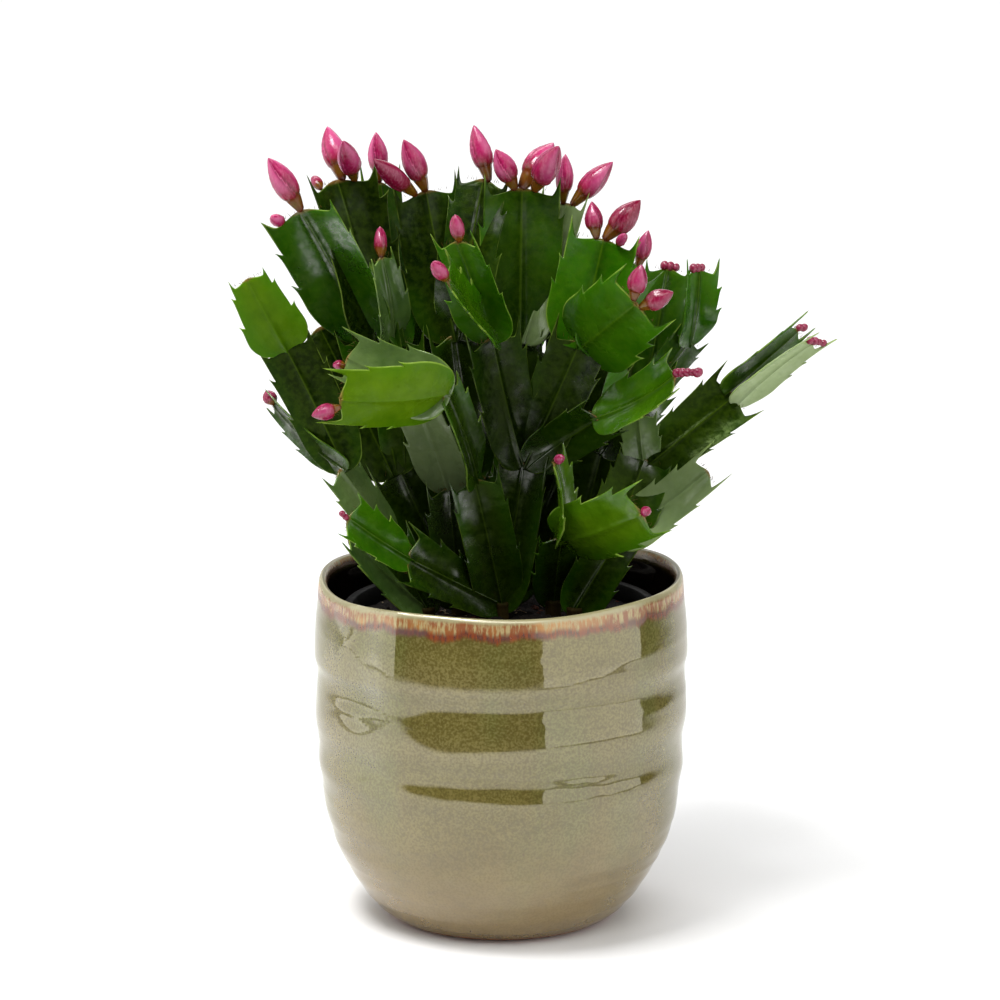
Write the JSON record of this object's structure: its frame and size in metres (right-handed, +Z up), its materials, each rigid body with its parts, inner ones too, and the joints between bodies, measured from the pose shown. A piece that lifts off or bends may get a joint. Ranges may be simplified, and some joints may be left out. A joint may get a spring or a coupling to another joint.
{
  "type": "potted christmas cactus",
  "caption": "Christmas cactus with arching chains of toothed flat stem segments and closed pink buds, in a nursery pot inside a ribbed glazed stoneware cover pot.",
  "frame": {"origin": "centre of the stoneware pot's flat base, on the surface it stands on", "axes": "+Z up, -Y towards the side the picture shows, +X to that side's right"},
  "size_m": [0.2263, 0.1722, 0.302],
  "materials": {
    "glaze": "glossy speckled olive and beige glaze with a rust brown lip",
    "plastic": "dark brown moulded plastic",
    "peat": "dark fibrous potting soil",
    "stem": "waxy green, glossy on the older segments",
    "bud": "smooth pink petals over an olive brown foot"
  },
  "bodies": {
    "root": {"pot": "glaze", "nursery_pot": "plastic", "soil": "peat", "cutting_centre": "stem", "cutting_left": "stem", "cutting_left_low": "stem", "cutting_crown": "stem", "cutting_right": "stem", "cutting_right_front": "stem", "cutting_back": "stem", "bud_01": "bud", "bud_02": "bud", "bud_03": "bud", "bud_04": "bud", "bud_05": "bud", "bud_06": "bud", "bud_07": "bud", "bud_08": "bud", "bud_09": "bud", "bud_10": "bud", "bud_11": "bud", "bud_12": "bud", "bud_13": "bud", "bud_14": "bud", "bud_15": "bud", "bud_16": "bud", "bud_17": "bud", "bud_18": "bud", "bud_19": "bud", "bud_20": "bud", "bud_21": "bud", "bud_22": "bud", "bud_23": "bud", "bud_24": "bud", "bud_25": "bud", "bud_26": "bud", "bud_27": "bud", "bud_28": "bud", "beads_1": "bud", "beads_2": "bud", "beads_3": "bud", "beads_4": "bud", "beads_5": "bud", "beads_6": "bud"}
  },
  "joints": []
}
